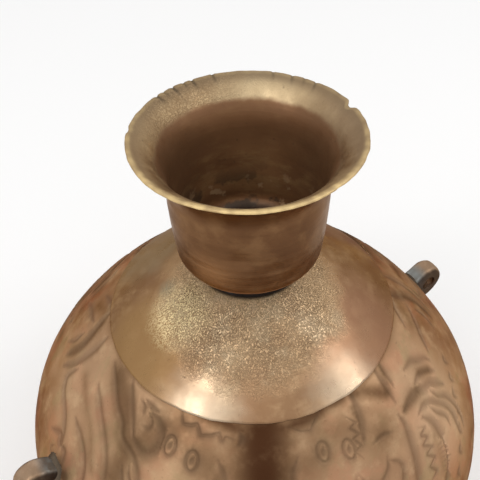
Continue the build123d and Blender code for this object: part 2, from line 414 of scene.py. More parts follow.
class Metal(Nodes):
    """Material of old brass, worked out from the place on the pot in millimetres.

    edge_tint dulls what the metal reflects at a grazing angle; coat is a thin film of grease and old polish.
    """

    def __init__(self, name, edge_tint, coat=0.0):
        self.material = bpy.data.materials.new(name)
        self.material.use_nodes = True
        super().__init__(self.material.node_tree)
        self.place = self.vector("MULTIPLY", self.node("TexCoord")["Object"], [1 / MM] * 3)
        self.relief = None
        self.sockets = self.tree.nodes["Principled BSDF"].inputs
        self.sockets["Metallic"].default_value = 1.0
        self.sockets["Specular Tint"].default_value = (*edge_tint, 1)
        self.sockets["Coat Weight"].default_value = coat
        self.sockets["Coat Roughness"].default_value = 0.26

    def height(self):
        return self.node("SeparateXYZ", {0: self.place})["Z"]

    def flat(self):
        """The place brought down to the ground plane."""
        return self.vector("MULTIPLY", self.place, (1, 1, 0))

    def radius(self):
        return self.vector("LENGTH", self.flat(), output="Value")

    def attribute(self, name):
        return self.node("Attribute", attribute_name=name)["Fac"]

    def cloud(self, size, detail=3.0, roughness=0.55, stretch=(1, 1, 1)):
        """Noise from 0 to 1 with patches about size millimetres across."""
        place = self.vector("MULTIPLY", self.place, stretch)
        inputs = {"Vector": place, "Scale": 1 / size, "Detail": detail, "Roughness": roughness}
        return self.node("TexNoise", inputs)["Fac"]

    def grain(self, place, pitch):
        """Leathery grain left by close hammering: 0 in its hollows, 1 on its ridges."""
        inputs = {"Vector": place, "Scale": 1 / pitch, "Detail": 1.5, "Roughness": 0.6, "Distortion": 0.8}
        return self.ramp(self.node("TexNoise", inputs)["Fac"], 0.36, 0.64)

    def drawn_out(self, radius, share):
        """Places on a map that stretches a pattern away from the axis: a larger share stretches it less."""
        turned = self.vector("MULTIPLY", self.vector("NORMALIZE", self.flat()), [WRINKLE_R] * 3)
        return self.vector("ADD", turned, self.node("CombineXYZ", {"Z": self.times(radius, share)})["Vector"])

    def scratches(self):
        """Fine marks running round the pot and up it."""
        round_it = self.cloud(1.6, 2.0, stretch=(0.35, 0.35, 5.0))
        return self.plus(round_it, self.times(self.cloud(1.8, 2.0, stretch=(3.0, 0.4, 0.4)), 0.5))

    def patina(self, deep, main, light, stretch=(1, 1, 1)):
        """Three drifting tones: deep in large clouds, light where handling has rubbed the metal."""
        drift = self.ramp(self.cloud(46, 2.0, stretch=stretch), 0.36, 0.62)
        rubbed = self.ramp(self.cloud(13, 5.0, 0.62, stretch), 0.46, 0.72)
        return self.tinted(self.tinted(deep, drift, main), rubbed, light, 0.7)

    def speckled(self, colour, share):
        """The colour with small dark pits and freckles of tarnish."""
        return self.tinted(colour, self.ramp(self.cloud(2.2, 4.0, 0.7), 0.60, 0.76), TARNISH, share)

    def away_from(self, azimuth, radius, height):
        """Distance to a spot, its azimuth in degrees to the right of the camera's side."""
        return self.vector("DISTANCE", self.place, spot(azimuth, radius, height), "Value")

    def near(self, azimuth, radius, height, size):
        """1 at a spot on the pot, falling to 0 at size millimetres from it."""
        return self.ramp(self.away_from(azimuth, radius, height), size, 0.0)

    def blotch(self, azimuth, radius, height, outer, inner):
        """1 near a spot on the pot, falling to 0 with a cloudy edge between two distances in millimetres."""
        wander = self.times(self.cloud(outer / 4, 4.0), outer / 3)
        return self.ramp(self.plus(self.away_from(azimuth, radius, height), wander), outer, inner)

    def roughness(self, size, low, high):
        """Roughness that drifts between two values in patches about size millimetres across."""
        return self.ramp(self.cloud(size, 4.0), 0.3, 0.7, low, high)

    def emboss(self, height, distance, strength=1.0):
        """Adds a fine relief, distance millimetres deep, to what is there already."""
        inputs = {"Height": height, "Distance": distance * MM, "Strength": strength}
        if self.relief is not None:
            inputs["Normal"] = self.relief
        self.relief = self.node("Bump", inputs)["Normal"]

    def finished(self, colour, roughness):
        for name, value in (("Base Color", colour), ("Roughness", roughness), ("Normal", self.relief)):
            self.tree.links.new(value, self.sockets[name])
        return self.material


def cup_outside(metal, height):
    """Brown with painted light: warm and grey reflections on left and right, a reflected copper line, a
    shaded underside.
    """
    colour = metal.patina((0.103, 0.046, 0.020), (0.158, 0.076, 0.033), (0.23, 0.123, 0.055))
    # painted warm reflection, copper-coloured, on the cup's left side
    colour = metal.tinted(colour, metal.near(-30, CUP_R, CUP_BOTTOM_Z + 15, 18), WARM_REFLECTION, 0.8)
    # painted grey reflection on the cup's right side
    grey_reflection = metal.blotch(80, CUP_R, CUP_BOTTOM_Z + 24, 34, 14)
    colour = metal.tinted(colour, grey_reflection, (0.25, 0.168, 0.112), 0.62)
    # painted reflection of the collar: a copper line round the cup's foot
    colour = metal.tinted(colour, metal.ramp(height, CUP_BOTTOM_Z + 6.0, CUP_BOTTOM_Z + 4.6), REFLECTED_COPPER_LINE)
    # painted shade on the cup's underside
    return metal.tinted(colour, metal.ramp(height, CUP_BOTTOM_Z + 4.4, CUP_BOTTOM_Z + 3.2), UNDERSIDE_SHADE)


def cup_crust(metal, height):
    """Dark crust inside: darker above, spotted low down, with painted shade at the sides and, nearly black,
    on the floor.
    """
    crust = metal.patina((0.22, 0.106, 0.047), (0.33, 0.170, 0.074), (0.41, 0.245, 0.105), (1, 1, 2.5))
    upper = metal.ramp(height, CUP_BOTTOM_Z + 22, LIP_START_Z + 4, 0.0, 0.8)
    crust = metal.tinted(crust, upper, (0.20, 0.098, 0.045))
    # painted shade on the left and right of the inside
    for azimuth in (-95, 95):
        side = metal.blotch(azimuth, CUP_R, CUP_BOTTOM_Z + 38, 48, 22)
        crust = metal.tinted(crust, side, (0.15, 0.080, 0.040), 0.6)
    low = metal.ramp(height, CUP_BOTTOM_Z + 30, CUP_BOTTOM_Z + 6)
    black = metal.times(low, metal.ramp(metal.cloud(13, 4.0), 0.52, 0.60))
    crust = metal.tinted(crust, black, (0.075, 0.052, 0.034), 0.85)
    pale = metal.times(low, metal.ramp(metal.cloud(8, 4.0), 0.42, 0.34))
    crust = metal.tinted(crust, pale, (0.62, 0.42, 0.24), 0.7)
    # painted shade, nearly black, on the floor and on the throat below it
    floor = metal.ramp(height, CUP_BOTTOM_Z + 5, CUP_BOTTOM_Z + 1)
    return metal.tinted(crust, floor, (0.04, 0.028, 0.021))


def cup_polish_and_light(metal, pits):
    """Flare rubbed bright by hands, with a painted highlight at the back and painted shade on the right."""
    polish_and_light = metal.patina((0.36, 0.245, 0.135), (0.43, 0.305, 0.170), (0.54, 0.39, 0.22))
    polish_and_light = metal.tinted(polish_and_light, pits, (0.24, 0.155, 0.080))
    # painted highlight on the back of the flare
    polish_and_light = metal.tinted(polish_and_light, metal.blotch(168, MOUTH_R - 7, LIP_Z - 4, 40, 8), (0.60, 0.46, 0.275), 0.8)
    # painted shade on the right of the flare
    return metal.tinted(polish_and_light, metal.blotch(92, MOUTH_R, LIP_Z - 6, 50, 20), (0.27, 0.185, 0.115), 0.6)


def cup_brass():
    """Brown outside with turning lines, crusted inside, and a flare polished by hands, all with painted light
    and shade.
    """
    metal = Metal("cup_brass", (0.80, 0.67, 0.57), 0.08)
    height = metal.height()
    inside = metal.attribute("inside")
    wavering = metal.plus(height, metal.times(metal.cloud(12, 4.0), 4))
    flare = metal.times(inside, metal.ramp(wavering, LIP_START_Z + 15.0, LIP_START_Z + 17.6))
    granular = metal.ramp(metal.blotch(215, MOUTH_R, LIP_Z, 62, 20), 0.0, 1.0, 0.15, 0.7)
    pits = metal.times(metal.inverse(metal.grain(metal.place, 0.9)), granular)
    colour = metal.tinted(cup_outside(metal, height), inside, cup_crust(metal, height))
    colour = metal.speckled(metal.tinted(colour, flare, cup_polish_and_light(metal, pits)), 0.45)
    # painted shade in a band inside the lip's edge, the bare gold edge with its painted highlight, and dark
    # torn creases
    for mark, tint in (("rim", RIM_SHADE), ("wear_and_highlight", GOLD), ("torn", TARNISH)):
        colour = metal.tinted(colour, metal.attribute(mark), tint)
    wear_and_highlight = metal.attribute("wear_and_highlight")
    dull = metal.math("MAXIMUM", metal.math("SUBTRACT", inside, flare), wear_and_highlight)
    metal.tree.links.new(metal.inverse(metal.times(dull, 0.55)), metal.sockets["Metallic"])
    metal.emboss(metal.cloud(0.9, stretch=(0.02, 0.02, 1.0)), 0.07, 0.7)
    metal.emboss(metal.times(pits, flare), -0.14)
    rough = metal.plus(metal.roughness(9, 0.30, 0.46), metal.times(metal.plus(inside, wear_and_highlight), 0.07))
    return metal.finished(colour, rough)


COLLAR_ZONES = (  # azimuth, radius and height of a spot, how far it spreads and holds, its tint and strength
    (60, 62, COLLAR_LIP_Z - 24, 54, 24, (0.35, 0.180, 0.102), 0.7),
    (-58, 64, COLLAR_LIP_Z - 24, 44, 20, (0.335, 0.190, 0.072), 0.75),
    (-124, 60, COLLAR_LIP_Z - 23, 44, 20, (0.39, 0.305, 0.200), 0.7),
    # the last two: pale patches painted under the lamps' highlights at the collar's edge
    (-20, 74, COLLAR_EDGE_Z + 4, 33, 8, (0.62, 0.50, 0.36), 0.7),
    (36, 74, COLLAR_EDGE_Z + 4, 33, 8, (0.62, 0.50, 0.36), 0.65),
)


def collar_brass():
    """Tan sheet: wrinkled where it was raised near the throat, smooth and redder towards its edge; painted
    highlights on it and painted shade round the throat.
    """
    metal = Metal("collar_brass", (0.34, 0.24, 0.18), 0.16)
    radius = metal.radius()
    smooth = metal.patina((0.27, 0.148, 0.074), (0.37, 0.218, 0.112), (0.50, 0.318, 0.172))
    for *place, tint, share in COLLAR_ZONES:
        smooth = metal.tinted(smooth, metal.blotch(*place), tint, share)
    worked = metal.blotch(0, 18, COLLAR_LIP_Z - 12, 61, 43)
    wrinkled = metal.patina((0.66, 0.43, 0.24), (0.82, 0.565, 0.325), (0.98, 0.76, 0.49))
    ridges = metal.grain(metal.drawn_out(radius, 0.85), 0.54)
    hollows = metal.times(metal.times(metal.inverse(ridges), worked),
                          metal.ramp(metal.cloud(16), 0.35, 0.65, 0.50, 0.88))
    colour = metal.tinted(metal.tinted(smooth, worked, wrinkled), hollows, (0.17, 0.098, 0.046))
    # painted highlight on the wrinkles' ridges at the left
    ridge_highlight = metal.times(metal.blotch(-54, 42, COLLAR_LIP_Z - 14, 26, 9), metal.ramp(ridges, 0.2, 0.7))
    colour = metal.speckled(metal.tinted(colour, ridge_highlight, (0.96, 0.76, 0.42)), 0.35)
    # painted shade, nearly black, round the throat under the cup
    colour = metal.tinted(colour, metal.ramp(radius, THROAT_R + 5.5, THROAT_R + 3.5), (0.020, 0.012, 0.008))
    green = metal.times(metal.near(-78, 42, COLLAR_LIP_Z - 13, 8), metal.cloud(3))
    colour = metal.tinted(colour, green, VERDIGRIS, 0.7)
    metal.emboss(metal.times(ridges, worked), 0.50)
    metal.emboss(metal.scratches(), 0.02, 0.6)
    return metal.finished(colour, metal.plus(metal.roughness(8, 0.26, 0.38), metal.times(worked, 0.06)))


def body_brass():
    """Warm tan with rosy and olive drifts and painted light on two sides, darkened where the mesh is stained
    or chased and under painted shade.
    """
    metal = Metal("body_brass", (0.10, 0.062, 0.050))
    colour = metal.patina((0.43, 0.250, 0.143), (0.58, 0.362, 0.212), (0.70, 0.475, 0.285))
    rosy = metal.ramp(metal.cloud(21, 4.0, 0.6), 0.50, 0.64)
    colour = metal.tinted(colour, rosy, (0.56, 0.28, 0.165), 0.5)
    olive = metal.ramp(metal.cloud(17, 4.0, 0.6, (1, 1, 0.6)), 0.54, 0.66)
    colour = metal.tinted(colour, olive, (0.42, 0.31, 0.165), 0.5)
    # painted light: lighter patches on the body's two lit sides
    for *place, share in ((64, 103, 172, 0.6), (-78, 97, 182, 0.4)):
        colour = metal.tinted(colour, metal.blotch(*place, 52, 14), (0.78, 0.54, 0.34), share)
    colour = metal.speckled(colour, 0.35)
    # stains, with the painted shadow under the collar and the front's painted dark reflection
    stain_and_shade = metal.times(metal.attribute("stain_and_shade"), metal.ramp(metal.cloud(9, 4.0), 0.3, 0.55, 0.85, 1.0))
    colour = metal.tinted(colour, metal.ramp(stain_and_shade, 0.0, 0.7, 0.0, 0.75), (0.25, 0.145, 0.070))
    colour = metal.tinted(colour, metal.ramp(stain_and_shade, 0.3, 1.0, 0.0, 0.97), (0.064, 0.025, 0.011))
    chased = metal.attribute("chased")
    colour = metal.tinted(colour, chased, (0.13, 0.080, 0.048), 0.46)
    metal.emboss(metal.scratches(), 0.03, 0.6)
    metal.emboss(metal.cloud(1.4), 0.05, 0.7)
    return metal.finished(colour, metal.plus(metal.roughness(10, 0.40, 0.52), metal.times(chased, 0.15)))


def cast_bronze():
    """Tan on the rounded rim, painted shade nearly black on the two flanks, grey-green at the root."""
    metal = Metal("cast_bronze", (0.6, 0.55, 0.5))
    colour = metal.patina((0.30, 0.20, 0.125), (0.42, 0.28, 0.185), (0.58, 0.42, 0.30))
    root = metal.ramp(metal.radius(), EYE_HOLE_AT - 1, EYE_HOLE_AT - 8)
    colour = metal.tinted(colour, root, (0.25, 0.30, 0.31), 0.75)
    # painted shade, nearly black, on the eye's two flanks
    sideways = metal.math("ABSOLUTE", metal.node("SeparateXYZ", {0: metal.place})["Y"])
    wavering = metal.plus(sideways, metal.times(metal.cloud(4), 1.6))
    flank_shade = metal.ramp(wavering, EYE_WIDTH / 2 - 1.2, EYE_WIDTH / 2 + 0.6)
    colour = metal.tinted(colour, flank_shade, (0.055, 0.036, 0.026), 0.92)
    metal.emboss(metal.cloud(0.9), 0.10, 0.8)
    return metal.finished(metal.speckled(colour, 0.5), metal.roughness(4, 0.38, 0.55))


def filler_metal():
    """Dull grey-brown solder and brazing, speckled with tarnish."""
    metal = Metal("filler_metal", (0.30, 0.22, 0.16))
    metal.sockets["Metallic"].default_value = 0.85
    grey = metal.tinted((0.085, 0.063, 0.045), metal.cloud(5, 4.0), (0.17, 0.130, 0.092))
    metal.emboss(metal.cloud(0.7), 0.12, 0.8)
    return metal.finished(metal.speckled(grey, 0.6), metal.roughness(3, 0.42, 0.65))


CUP_BRASS = cup_brass()
COLLAR_BRASS = collar_brass()
BODY_BRASS = body_brass()
CAST_BRONZE = cast_bronze()
FILLER_METAL = filler_metal()


# ---- mouth cup ----
LIP_NICKS = [  # degrees to the left of the camera's side, depth and half width of each tear or dent
    (128, 0.7, 1.0), (133, 0.4, 0.8), (139, 0.8, 0.9), (146, 0.5, 0.7), (151, 0.8, 0.8),
    (163, 0.6, 0.6), (196, 0.4, 0.6), (207, 0.5, 0.7), (214, 0.3, 0.6), (221, 0.5, 0.8),
    (248, 2.2, 2.6), (20, 0.5, 1.5), (318, 0.6, 1.8), (96, 0.6, 2.0),
]
LIP_TEARS = 10             # how many of them, from the first, are torn and run inward as creases
FLARE_ALONG = 20           # skin from the lip's edge to the end of its flare
CUP_DENTS = [  # degrees to the right of the camera's side, distance below the flare, half width and depth
    (-7, 24, 5.0, 0.55), (16, 31, 4.0, 0.35), (30, 40, 3.5, 0.4), (150, 35, 6.0, 0.5), (255, 28, 7.0, 0.6),
]


def lip_edge(angle):
    """How far the lip's edge is eaten back, round the mouth."""
    loss = 0 * angle
    for at, depth, width in LIP_NICKS:
        away = turn_between(angle, FRONT - at) * MOUTH_R
        loss = np.maximum(loss, depth * bell(away, width, 3))
    return loss


def lip_creases(angle, along):
    """Short creases that run in from the tears in the lip's edge, 0 to 1."""
    deep = 0 * angle * along
    for at, depth, _ in LIP_NICKS[:LIP_TEARS]:
        away = turn_between(angle, FRONT - at) * MOUTH_R + 0.25 * along
        crease = np.exp(-((away / 0.75) ** 2) - (along / (2 + 3 * depth)) ** 2)
        deep = np.maximum(deep, min(1, depth * 1.3) * crease)
    return deep


def cup_torn(points, angle, along, outer):
    return 0.8 * lip_creases(angle, along)


def cup_relief(points, angle, along, outer):
    """Wavy nicked lip, dents and turning lines on the wall, and hammer marks inside the flare."""
    slide = (lip_edge(angle) + 0.35 * smooth_noise(points, 5.0, 1)) * bell(along, 5.0)
    lift = 0.45 * smooth_noise(points, 34.0, 2) * bell(along, 22.0)
    lift = lift + 0.07 * smooth_noise(points, 7.0, 3) * bell(along, 16.0)
    for at, down, size, depth in CUP_DENTS:
        sideways = turn_between(angle, FRONT + at) * CUP_R
        lift = lift - depth * np.exp(-((sideways**2 + (along - down - FLARE_ALONG) ** 2) / size**2))
    lift = lift + 0.07 * smooth_noise(points * [0.05, 0.05, 1], 2.4, 4) * (along > FLARE_ALONG + 4)
    lift = lift - 0.3 * lip_creases(angle, along) * (1 - 2 * outer)
    return lift - 0.09 * hammered(points, 4.2, 5) * bell(along, 18.0, 4) * (1 - outer), slide


def facing_camera(angle):
    """1 on the camera's side of the pot, falling to 0 at its back."""
    return 0.5 + 0.5 * np.cos(angle - radians(FRONT))


def cup_wear_and_highlight(points, angle, along, outer):
    """Edge of the lip rubbed to bare gold, with a painted highlight that makes it wider and brighter on the
    camera's side.
    """
    facing = facing_camera(angle)
    edge = bell(along, 1.1 + 2.6 * facing**4 - 0.3 * outer, 4)
    # painted highlight: stronger towards the camera
    camera_side = 0.15 + 0.85 * facing**2
    return np.clip(edge * camera_side * (0.88 + 0.8 * smooth_noise(points, 3.5, 6)), 0, 1)


def cup_rim_shade(points, angle, along, outer):
    """Painted shade: a dull band inside the lip's edge, strongest at the back, away from the camera."""
    return 0.7 * (1 - facing_camera(angle) ** 2) * (1 - outer) * bell(along - 1.6, 3.2)


def cup_inside(points, angle, along, outer):
    return np.broadcast_to(1 - outer, points.shape[:-1])


def make_cup():
    marks = {"wear_and_highlight": cup_wear_and_highlight, "inside": cup_inside, "torn": cup_torn, "rim": cup_rim_shade}
    cup = turned_sheet("mouth_cup_shell", cup_skin(), cup_relief, 480, marks=marks)
    stands_for(cup, "mouth_cup", CUP_BRASS)


def make_throat():
    outline = rounded([
        (THROAT_R - SHEET, bottom("throat_tube")),
        (THROAT_R, bottom("throat_tube")),
        (THROAT_R, CUP_BOTTOM_Z + SHEET),
        (FLANGE_R, CUP_BOTTOM_Z + SHEET),
        (FLANGE_R, FLANGE_Z),
        (THROAT_R - SHEET, FLANGE_Z),
    ], 0.5)

    def relief(points):
        return 0.10 * smooth_noise(points, 6.0, 7)

    tube = turned_ring("throat_tube_shell", divided(outline, 2.0), relief, 180)
    # marked as inside: the cup's painted floor shade darkens it nearly to black in the gap under the cup
    inside = tube.data.attributes.new("inside", "FLOAT", "POINT")
    inside.data.foreach_set("value", np.ones(len(tube.data.vertices), np.float32))
    stands_for(tube, "throat_tube", CUP_BRASS)


# ---- shoulder collar ----
def collar_relief(points, angle, along, outer):
    """Broad waves and hammer marks, level under the cup, with a wavy outer edge."""
    length = along.max()
    lift = 0.35 * smooth_noise(points, 45.0, 8) + 0.16 * smooth_noise(points, 12.0, 9)
    worked = np.clip((length - 16 - along) / 10, 0, 1) * np.clip((along - 8) / 5, 0, 1)
    lift = lift - 0.06 * hammered(points, 3.4, 10) * worked * outer
    lift = lift * np.clip((along - 4) / 5, 0, 1)
    edge = bell(length - along, 4.0)
    slide = -np.abs(0.7 * smooth_noise(points, 22.0, 11) + 0.3 * smooth_noise(points, 6.0, 12)) * edge
    return lift + 0.25 * edge * smooth_noise(points, 18.0, 13), slide


def make_collar():
    collar = turned_sheet("shoulder_collar_sheet", collar_skin(), collar_relief, 520, inner_step=4)
    stands_for(collar, "shoulder_collar", COLLAR_BRASS)


# ---- chased pattern ----
# Places on the shoulder: (degrees to the right of the panel's middle, millimetres below the collar's edge).
def curve(points):
    """Smooth curve through the points, finely divided."""
    points = np.array(points, float)
    padded = np.vstack([2 * points[0] - points[1], points, 2 * points[-1] - points[-2]])
    t = np.linspace(0, 1, 12, endpoint=False)[:, None]
    out = []
    for p0, p1, p2, p3 in zip(padded, padded[1:], padded[2:], padded[3:]):
        out.append(0.5 * (2 * p1 + (p2 - p0) * t + (2 * p0 - 5 * p1 + 4 * p2 - p3) * t**2
                          + (3 * p1 - p0 - 3 * p2 + p3) * t**3))
    return np.vstack([*out, points[-1:]])


def oval(centre, across, tall, width):
    angles = np.linspace(0, 2 * pi, 19)
    return [(np.stack([centre[0] + across * np.cos(angles), centre[1] + tall * np.sin(angles)], -1), width)]


def comb(start, end, teeth, tooth, width):
    """A spine with short slanting teeth on one side."""
    start, end, tooth = np.array(start, float), np.array(end, float), np.array(tooth, float)
    strokes = [(np.array([start, end]), width)]
    for t in np.linspace(0.05, 0.95, teeth):
        root = start + (end - start) * t
        strokes.append((np.array([root, root + tooth]), width * 0.8))
    return strokes


def steps(width, *corners):
    """A stepped border line."""
    return [(np.array(corners, float), width)]


TOOL_WIDTH = 1.7          # how much wider than drawn the worn lines have become


def line(width, *places):
    """One chased line: a smooth curve through the places."""
    return curve(places), width * TOOL_WIDTH


def front_panel():
    """Stepped border either side of a plain middle, with leaf-shaped cells under it."""
    strokes = steps(2.0, (-28, -1), (-26, 4.5), (-23, 4), (-21, 2.5), (-19, 7), (-15.5, 6), (-13, 4.5),
                    (-11.5, 8), (-10.5, 5.5), (-8, 6.5))
    strokes += steps(1.8, (11, 2.5), (14.5, 5.5), (18, 6.5), (21.5, 1.5), (24, -1))
    strokes.append(line(1.8, (-6, 3), (-5, 6), (-6, 9)))
    for across, down in ((-28, 16), (-20, 19), (20, 17), (28, 21)):
        strokes += oval((across, down), 1.9, 4.6, 1.9)
        strokes.append(line(1.5, (across - 0.4, down + 2), (across + 0.4, down - 2)))
    for side in (-1, 1):
        strokes.append(line(1.8, (side * 12, 16), (side * 10, 22), (side * 9, 29)))
    return strokes + garland(range(-33, 34, 11), 34)


def garland(middles, down):
    """Hanging loops with a leaf under each, their middles in degrees."""
    loop = [(-5, 0), (-3.4, 5.5), (0, 8.5), (3.4, 5.5), (5, 0)]
    strokes = []
    for middle in middles:
        strokes.append(line(1.5, *[(middle + across, down + drop) for across, drop in loop]))
        strokes += oval((middle, down + 16), 1.5, 4.4, 1.5)
    return strokes


def peacock_panel():
    """Nested feathers round an eye, a toothed blade and leaves under the collar: the right-hand panel."""
    strokes = [
        line(2.0, (95, -1), (88, 1), (83, 5), (79.5, 9)),
        line(2.0, (91, 14), (86, 18), (82, 21), (79.5, 24), (77, 28)),
        line(2.4, (62, 14), (67, 16), (70, 20.5), (73, 25), (74, 29)),
        line(2.2, (61, 23), (65, 23), (68.5, 26), (72, 34)),
        line(3.0, (51, 25), (55, 24), (59.5, 25), (63, 29.5), (67, 33), (71, 43)),
        line(2.0, (64.5, 34), (65.5, 40), (68, 46), (69, 53), (69, 61), (67, 68)),
        line(2.4, (55, 33), (58.5, 33), (62, 37), (64.5, 43.5), (66, 50), (66, 57), (64, 66)),
        line(1.6, (60, 37), (61, 43), (63, 50), (62.5, 56)),
        line(3.0, (55.5, 36), (57.5, 43), (57.5, 50.5), (56.5, 58), (54, 66), (50, 73)),
        line(2.4, (48.5, 24), (48.5, 30), (47, 38), (45.5, 46), (42, 60), (36, 74)),
        line(1.8, (36, 25), (40, 25), (43, 27)),
        line(2.4, (55.5, -1), (55, 6), (54, 12.5)),
        line(2.2, (52, -1), (51.5, 5), (51, 12), (50.5, 18.5)),
        line(2.2, (37, -1), (36.5, 8), (35, 15), (33, 23)),
        line(1.6, (38, 36), (41, 42), (39, 50), (34, 56)),
    ]
    strokes += steps(1.7, (52, 37), (54, 40), (51, 40.5), (53, 44.5), (50, 45), (52.5, 50), (49.5, 50),
                     (51.5, 55), (48.5, 56), (50, 61), (46.5, 62))
    strokes += steps(1.7, (31.5, 8), (33.5, 12), (31, 13), (33, 17.5), (30.5, 18), (32, 22.5), (29.5, 23.5),
                     (31, 28))
    for k in range(7):
        strokes += steps(0.9, (54 - k * 0.35, 53 + k * 2), (57.5 - k * 0.6, 55 + k * 2.2))
    for angle, down in ((81, 44), (77, 50), (73, 54), (70, 60), (66, 65), (62, 71), (58, 78)):
        strokes.append(line(1.9, (angle, down - 2), (angle - 1.5, down), (angle - 1, down + 3)))
    return strokes


def plume_panel():
    """Long blades that sweep down from the collar, and a curled drop: the left-hand panel."""
    strokes = [
        line(3.4, (-89, -1), (-87, 5), (-84.5, 12), (-82.5, 20), (-82.5, 27), (-85, 38)),
        line(2.6, (-76.5, 4), (-76, 13), (-76.5, 20.5), (-78, 30), (-82, 41)),
        line(1.8, (-87.5, 22), (-87.5, 30), (-90, 38)),
        line(2.2, (-75, 28), (-76.5, 37), (-73.5, 42), (-68, 45), (-64, 50), (-61, 58)),
        line(2.2, (-68, 60), (-64, 54.5), (-62, 58), (-59, 57.5), (-58, 64)),
        line(2.4, (-63, 18), (-56, 24), (-51, 29.5), (-47, 36), (-44, 46), (-44, 58)),
        line(2.4, (-62, 40), (-56.5, 43), (-52.5, 48), (-50, 56), (-50, 66)),
        line(2.4, (-64, 4), (-57, 9.5), (-51.5, 15), (-46.5, 19.5), (-44, 25), (-38, 29), (-34, 38),
             (-34, 50)),
        line(2.2, (-52, 1), (-47.5, 8), (-44.5, 13), (-42.5, 17), (-40.5, 21)),
        line(3.2, (-42, 19), (-39.5, 22.5), (-36, 24.5), (-33, 22.5), (-31.3, 18), (-32, 12), (-35, 8),
             (-38, 7)),
        line(2.2, (-44, 5), (-42, 6.5), (-41, 9.5)),
        line(2.2, (-42.5, 3.5), (-39.5, 4.5), (-36, 4.5)),
        line(2.0, (-39, 7.5), (-37, 10), (-37, 13.5), (-39, 14.5)),
        line(1.8, (-40, 36), (-38, 46), (-41, 60), (-50, 72)),
    ]
    return strokes + comb((-66, 66), (-47, 80), 9, (1.4, -4), 1.5)


def ring_bands():
    """Border lines and scallops round the belly, above the seam."""
    full = np.linspace(0, 360, 241)
    strokes = [(np.stack([full, 0 * full + down], -1), 1.6) for down in (99, 103, 116)]
    half = 3.75
    for start in np.arange(0, 360, 2 * half):
        angles = np.radians(np.linspace(0, 180, 9))
        scallop = np.stack([start + half - half * np.cos(angles), 103 + 8 * np.sin(angles)], -1)
        strokes.append((scallop, 1.5))
        strokes += steps(1.4, (start + half, 104.5), (start + half, 108))
    return strokes


def on_front(strokes, turned=0):
    """The same strokes or stains, their degrees counted from +X."""
    return [(stroke[0] + [FRONT + turned, 0], *stroke[1:]) for stroke in strokes]


def on_both_sides(strokes):
    """The pot's front and back carry the same panels."""
    return on_front(strokes) + on_front(strokes, 180)


def all_strokes():
    return ring_bands() + on_both_sides(front_panel() + peacock_panel() + plume_panel())


def stain_and_shade(width, strength, *places):
    """A broad dark stroke, for the stains that old polish has left and for painted shade."""
    return curve(places), width, strength


def all_stains():
    """The front's painted dark reflection, which thins out downward, and what both sides have: stains and a
    painted shadow round the collar's edge.
    """
    front = [
        # painted dark reflection on the plain front, fading downward
        stain_and_shade(40, 1.0, (1.5, -6), (1.5, 10), (1.5, 22)),
        stain_and_shade(44, 0.6, (1.5, 22), (2, 34), (2, 46)),
        stain_and_shade(48, 0.34, (2, 46), (3, 62), (2, 80)),
    ]
    return on_front(front) + on_both_sides([
        # painted shadow all round under the collar's edge
        stain_and_shade(8, 0.6, (-90, -1), (-45, -1), (0, -1), (45, -1), (90, -1)),
        stain_and_shade(40, 0.62, (-40, 24), (-28, 8), (-12, 22)),
        stain_and_shade(38, 0.55, (12, 22), (26, 10), (40, 24)),
        stain_and_shade(12, 0.85, (-22, -3), (-10, 0), (0, 3), (16, 1), (24, -1), (33, -2)),
        stain_and_shade(12, 0.72, (37, -1), (43, 4), (49, 11)),
        stain_and_shade(9, 0.5, (55, -1), (52.5, 9)),
        stain_and_shade(8, 0.6, (35, 6), (34, 20)),
        stain_and_shade(8, 0.45, (90, 4), (83, 14)),
        stain_and_shade(8, 0.5, (66, 24), (70, 29)),
        stain_and_shade(9, 0.55, (52, 25), (60, 26)),
        stain_and_shade(8, 0.4, (55, 48), (52, 64)),
        stain_and_shade(23, 0.62, (-59, 4), (-50, 11), (-44, 20), (-41, 30), (-41, 44)),
        stain_and_shade(9, 0.45, (-70, 24), (-62, 30), (-54, 37), (-48, 50)),
        stain_and_shade(8, 0.62, (-41, 21), (-37, 24), (-32.5, 21), (-32, 13)),
        stain_and_shade(9, 0.45, (-87, 4), (-83, 18), (-84, 34)),
    ])


class Chart:
    """Flat map of the shell's outer skin that keeps angles: across is the turn, down is along over radius."""

    def __init__(self, skin, from_edge):
        self.skin = skin
        self.along = along_line(skin)
        self.down = np.concatenate([[0], np.cumsum(np.diff(self.along) * 2 / (skin[1:, 0] + skin[:-1, 0]))])
        self.edge = from_edge
        self.tangent, self.normal = directions(skin)

    def flat(self, points):
        """Map places from (degrees, millimetres below the collar's edge)."""
        points = np.asarray(points, float)
        down = np.interp(points[:, 1] + self.edge, self.along, self.down)
        return np.stack([np.radians(points[:, 0]), down], -1)

    def at(self, down, values):
        return np.interp(down, self.down, values)

    def radius(self, down):
        return self.at(down, self.skin[:, 0])


GROOVE_STEP = 0.85         # spacing of mesh points along a chased line
GROOVE_DEPTH = 0.31
PLAIN_STEP = 2.1           # spacing of mesh points between chased lines
CHASE_END = 9.0            # how gradually a chased line runs out at its ends
SAMPLE_STEP = 0.28         # spacing of the fine samples that distances to a chased line are measured from
STAIN_STEP = 2.0
GROOVE_ROWS = (-1.45, -0.95, -0.48, 0, 0.48, 0.95, 1.45)  # mesh points across a line, in half widths
PLAIN_GAP = 1.0            # bare strip between a chased line and the nearest of the points between lines
MESH_GAP = 0.33            # width of the cells that keep one mesh point each
BORDER_TURNS = 400         # points round each end of the shell
SIDE_ROWS = 90             # points down the line where the map's two sides meet
INNER_TURNS = 120
INNER_ROWS = 26
CLEAR_OF_SIDE = 0.006      # map distances that keep scattered points off the borders
CLEAR_OF_TOP = 0.008
CLEAR_OF_END = 0.010
MAP_WRAP = 0.1             # how far the lines run on past the map's two sides
END_FADE = 0.06            # map distance over which the relief dies out towards the shell's ends


